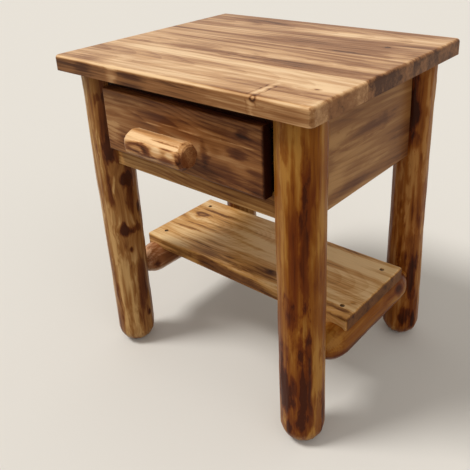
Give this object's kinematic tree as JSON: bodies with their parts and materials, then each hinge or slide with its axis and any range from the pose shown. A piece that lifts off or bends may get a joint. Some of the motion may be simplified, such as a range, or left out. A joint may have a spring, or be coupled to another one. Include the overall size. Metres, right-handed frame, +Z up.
{
  "type": "log nightstand",
  "caption": "Rustic bedside stand: peeled log legs, board panels and a slab top, a drawer with a log pull that slides out to the front, and a low shelf on log stretchers.",
  "frame": {"origin": "on the floor, under the middle of the outline from the front of the pull to the back of the top", "axes": "+X to the right seen from the front, +Y to the back, +Z up"},
  "size_m": [0.558, 0.5005, 0.63],
  "materials": {
    "scorched_board": "scorched and lacquered",
    "peeled_log": "peeled, scorched and lacquered",
    "pale_log": "peeled and lacquered",
    "plain_wood": "sanded",
    "dark_steel": "black oxide"
  },
  "bodies": {
    "stand": {"top_board_front": "scorched_board", "top_board_middle": "scorched_board", "top_board_back": "scorched_board", "leg_front_left": "peeled_log", "leg_front_right": "peeled_log", "leg_back_left": "peeled_log", "leg_back_right": "peeled_log", "side_panel_left": "scorched_board", "side_panel_right": "scorched_board", "back_panel": "scorched_board", "front_rail_lower": "scorched_board", "front_rail_upper": "scorched_board", "drawer_runner_left": "plain_wood", "drawer_runner_right": "plain_wood", "drawer_guide_left": "plain_wood", "drawer_guide_right": "plain_wood", "top_cleat_left": "plain_wood", "top_cleat_right": "plain_wood", "top_screws": "dark_steel", "shelf_board": "scorched_board", "stretcher_left": "peeled_log", "stretcher_right": "peeled_log", "shelf_screws": "dark_steel"},
    "drawer": {"drawer_box_front": "plain_wood", "drawer_box_back": "plain_wood", "drawer_bottom": "plain_wood", "drawer_side_left": "plain_wood", "drawer_side_right": "plain_wood", "drawer_box_screws": "dark_steel", "drawer_front": "scorched_board", "drawer_front_screws": "dark_steel", "drawer_pull": "pale_log", "pull_posts": "pale_log", "pull_screws": "dark_steel"}
  },
  "joints": [
    {"name": "drawer_slide", "type": "slide", "parent": "stand", "child": "drawer", "axis": [0, -1, 0], "range_m": [0, 0.24]}
  ]
}
